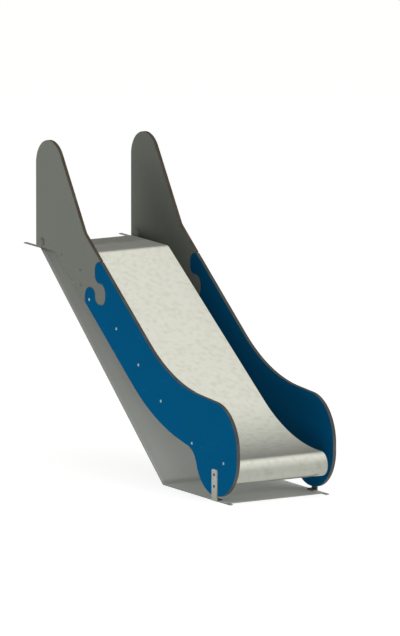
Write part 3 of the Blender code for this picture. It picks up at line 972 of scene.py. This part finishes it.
grip_end = add(screws, MATH, (given["Grip"], -1.0), operation="MULTIPLY")
nut_end = add(screws, MATH, (grip_end, given["Nut height"]), operation="SUBTRACT")
shank_end = add(screws, MATH, (nut_end, STAND_OUT), operation="SUBTRACT")
shank = rod(screws, given["Shank radius"], washer_top, shank_end, 16)
nut_radius = add(screws, MATH, (given["Shank radius"], NUT_WIDTH), operation="MULTIPLY")
nut_seat = add(screws, MATH, (grip_end, SEAT), operation="SUBTRACT")
nut = rod(screws, nut_radius, nut_seat, nut_end, 6)
seat_top = add(screws, MATH, (grip_end, SEAT_GAP), operation="SUBTRACT")
inner_washer = rod(screws, washer_radius, seat_top, nut_seat)
screw_pieces = [recessed, washer, shank, nut, inner_washer]
copied_out(screws, [(given["Steel"], screw_pieces)], given["Points"])
print("Screw tree has", len(screws.nodes), "nodes")

# %% Place the screws
FACE = INSIDE_WIDTH / 2 + BOARD
JOINT_PLATE = 0.006
BRACKET = 0.007
SUNK = 0.008


def points_object(name, places):
    """A mesh of loose points with an arrow at each: (x, run, height, side)."""
    mesh = bpy.data.meshes.new(name)
    mesh.from_pydata([(x, *placed(run, z)) for x, run, z, side in places], [], [])
    arrows = mesh.attributes.new("out", "FLOAT_VECTOR", "POINT")
    for arrow, (x, run, z, side) in zip(arrows.data, places):
        arrow.vector = (side, 0.0, 0.0)
    made = bpy.data.objects.new(name, mesh)
    bpy.context.scene.collection.objects.link(made)
    return made


def grown(name, tree, sockets, places, values, replaced):
    """Run a tree on the points and keep its result as a plain mesh piece."""
    seeds = points_object(name + "_points", places)
    set_to_run(seeds, tree, sockets, values)
    piece = made_real(seeds, name, replaced)
    piece.data.set_sharp_from_angle(angle=math.radians(35))
    print(name, len(places), "places,", len(piece.data.polygons), "faces")
    return piece


chute_screw_spots = [
    (-1.223, 1.228),
    (-0.993, 1.165),
    (-0.558, 0.868),
    (-0.293, 0.686),
    (-0.026, 0.505),
    (0.343, 0.304),
    (0.716, 0.238),
]
joint_screw_spots = [(-0.986, 1.074), (-0.884, 1.000)]
bracket_screw_spots = [(BRACKET_RUN, 0.156), (BRACKET_RUN, 0.085)]
bracket_x = FACE + GAP + BRACKET
# The nuts of the bracket screws are sunk in the board, so their grip is shorter
bracket_grip = BRACKET + GAP + BOARD - SUNK
groups = [
    ("chute", chute_screw_spots, FACE, BOARD + GAP + SHEET, screw_steel),
    ("splice", joint_screw_spots, FACE, BOARD + GAP + JOINT_PLATE, screw_steel),
    ("bracket", bracket_screw_spots, bracket_x, bracket_grip, dark_screw_steel),
]
for kind, spots, x, grip, steel in groups:
    places = [(side * x, run, z, side) for side in (-1, 1) for run, z in spots]
    replaced = [
        f"{word}_{kind}_bolt_{number}"
        for word in ("left", "right")
        for number in range(1, len(spots) + 1)
    ]
    values = {
        "Head radius": 0.0080,
        "Head height": 0.0042,
        "Socket radius": 0.0036,
        "Shank radius": 0.004,
        "Grip": grip,
        "Nut height": 0.006,
        "Washer": 0.001,
        "Steel": steel,
    }
    grown(kind + "_screws", screws, screw_sockets, places, values, replaced)

# %% [markdown]
# ## The big caps in the ears
#
# A round cap covers a heavy bolt low in each ear, on both faces of the board.  It is a
# flat collar with a domed lid snapped on, so it uses the same dome and rod helpers.  The
# inner cap is the outer one turned right round, not mirrored, which would turn it inside
# out.

# %% Cap tree and caps
LID_WIDTH = 0.88
LID_BASE = 0.9
BARREL_END = 0.001
cap_sizes = ("Collar radius", "Collar height", "Lid height", "Bolt radius", "Board")
cap_inputs = dict.fromkeys(cap_sizes, FLOAT) | {"Lid zinc": MATERIAL, "Collar zinc": MATERIAL}
caps, cap_sockets = sizes_tree("snap_caps", "Points", cap_inputs, "Result")
given = add(caps, "NodeGroupInput").outputs
collar = rod(caps, given["Collar radius"], given["Collar height"], GAP, 40)
lid_radius = add(caps, MATH, (given["Collar radius"], LID_WIDTH), operation="MULTIPLY")
lid_base = add(caps, MATH, (given["Collar height"], LID_BASE), operation="MULTIPLY")
lid = dome(caps, lid_radius, given["Lid height"], lid_base, 40)
board_back = add(caps, MATH, (given["Board"], -1.0), operation="MULTIPLY")


def turned_round(geometry):
    """The same piece on the board's other face, looking the other way."""
    back = add(caps, JOIN, (0.0, 0.0, board_back))
    turn = {"Geometry": geometry, "Translation": back, "Rotation": (math.pi, 0.0, 0.0)}
    return add(caps, "GeometryNodeTransform", turn)


barrel_end = add(caps, MATH, (board_back, BARREL_END), operation="SUBTRACT")
barrel = rod(caps, given["Bolt radius"], BARREL_END, barrel_end)
cap_coats = [
    (given["Lid zinc"], [lid, turned_round(lid)]),
    (given["Collar zinc"], [collar, turned_round(collar), barrel]),
]
copied_out(caps, cap_coats, given["Points"])

ear_places = [(side * FACE, -1.457, 1.274, side) for side in (-1, 1)]
cap_values = {
    "Collar radius": 0.025,
    "Collar height": 0.0030,
    "Lid height": 0.0095,
    "Bolt radius": 0.008,
    "Board": BOARD,
    "Lid zinc": cap_zinc,
    "Collar zinc": shaded_collar_zinc,
}
ear_bolts = ["left_ear_bolt", "right_ear_bolt"]
grown("ear_caps", caps, cap_sockets, ear_places, cap_values, ear_bolts)

# %% [markdown]
# ## Zinc-primed base sheets
#
# Under everything lies the base, steel that follows the bank.  It is dull grey: a
# zinc-rich primer on rolled sheet.  Soil and rain leave pale and dark clouds on it, it
# darkens towards the top of the bank and on its level part, and it has a few rust-brown
# specks where the primer is chipped.  Every face that looks away from the middle, and the
# ends of the bars beyond the sheets, are painted dark as shade.  The side that faces down
# is painted darker as shade too.  Without that, it would shine white from behind, because
# the pale floor lights it.

# %% Base material
# How much the painted shade on the bar ends covers
END_SHADE = 0.65
CLOUDING = 285.714 / 1000
ROLLING_GRAIN = 3.84615 / 1000
RUST_SPECK = 14.2857 / 1000
LOOKS_OUT = 0.6
LOOKS_DOWN = -0.3
primer, tree, shader = shader_tree("zinc_primed_sheet_steel")
place = add(tree, "ShaderNodeTexCoord").outputs["Object"]
facing = add(tree, "ShaderNodeTexCoord").outputs["Normal"]
spot = add(tree, SPLIT, (place,)).outputs
looks = add(tree, SPLIT, (facing,)).outputs
wide = add(tree, NOISE, {"Vector": place, "Scale": 1 / CLOUDING, "Detail": 6.0, "Roughness": 0.6})
fine = add(tree, NOISE, {"Vector": place, "Scale": 1 / ROLLING_GRAIN, "Detail": 3.0})
speck = add(tree, NOISE, {"Vector": place, "Scale": 1 / RUST_SPECK, "Detail": 4.0, "Roughness": 0.75})
grey = add(tree, MIX, {"Factor": wide, "A": "#D3D6D3", "B": "#E7EAE6"}, data_type="RGBA")
grit = add(tree, JOIN, (fine, fine, fine))
shade = add(tree, MIX, {"Factor": 0.12, "A": grey, "B": grit}, data_type="RGBA", blend_type="OVERLAY")
# Each row: what is measured, where the coat starts, where it is full, and how much it covers
ramps = (
    (spot["Z"], 0.030, 0.012, 0.45),
    (spot["Z"], 0.30, 1.10, 0.36),
    # The bar ends, at the top of the bank and at the front, get painted shade
    (spot["Z"], 1.215, 1.235, END_SHADE),
    (spot["Y"], -0.118, -0.132, END_SHADE),
    (speck, 0.70, 0.76, 0.7),
)
amounts = []
for value, start, full, most in ramps:
    ramp = {"Value": value, "From Min": start, "From Max": full, "To Max": most}
    amounts.append(add(tree, RANGE, ramp))
level_part, high_part, tail, front_end, rust = amounts
bar_end = add(tree, MATH, (tail, front_end), operation="MAXIMUM")
which_side = add(tree, MATH, (spot["X"],), operation="SIGN")
outwards = add(tree, MATH, (looks["X"], which_side), operation="MULTIPLY")
# Painted shade on faces that look away from the middle, and on faces that look down
outward_shade = add(tree, MATH, (outwards, LOOKS_OUT), operation="GREATER_THAN")
underside = add(tree, MATH, (looks["Z"], LOOKS_DOWN), operation="LESS_THAN")
coats = (
    (level_part, "#979894"),
    (high_part, "#A8AAA4"),
    (bar_end, "#5C5E5B"),
    (rust, "#6E5644"),
    (outward_shade, "#696965"),
    (underside, "#777872"),
)
for amount, coat in coats:
    shade = add(tree, MIX, {"Factor": amount, "A": shade, "B": coat}, data_type="RGBA")
rough = add(tree, RANGE, NOISE_SPAN | {"Value": wide, "To Min": 0.55, "To Max": 0.75})
bump = add(tree, "ShaderNodeBump", {"Height": fine, "Strength": 0.15, "Distance": 0.0004})
fill(tree, shader, {"Base Color": shade, "Roughness": rough, "Normal": bump})
fill(tree, shader, {"Specular IOR Level": 0.3})
print("Primer has", len(tree.nodes), "nodes")

# %% [markdown]
# ## The plain plates keep their solid shape
#
# The brackets, joint plates, bars and sheets are flat plates in real life too, so their
# solid shapes stay and only get a finish.

# %% Finishes for the kept plates
for word in ("left", "right"):
    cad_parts[word + "_foot_bracket"].material_slots[0].material = zinc
    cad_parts[word + "_splice_plate"].material_slots[0].material = zinc
    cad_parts[word + "_base_rail"].material_slots[0].material = primer
for name in ("slope_sheet", "foot_sheet"):
    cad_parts[name].material_slots[0].material = primer
print("Finished the plates that keep their solid shape")
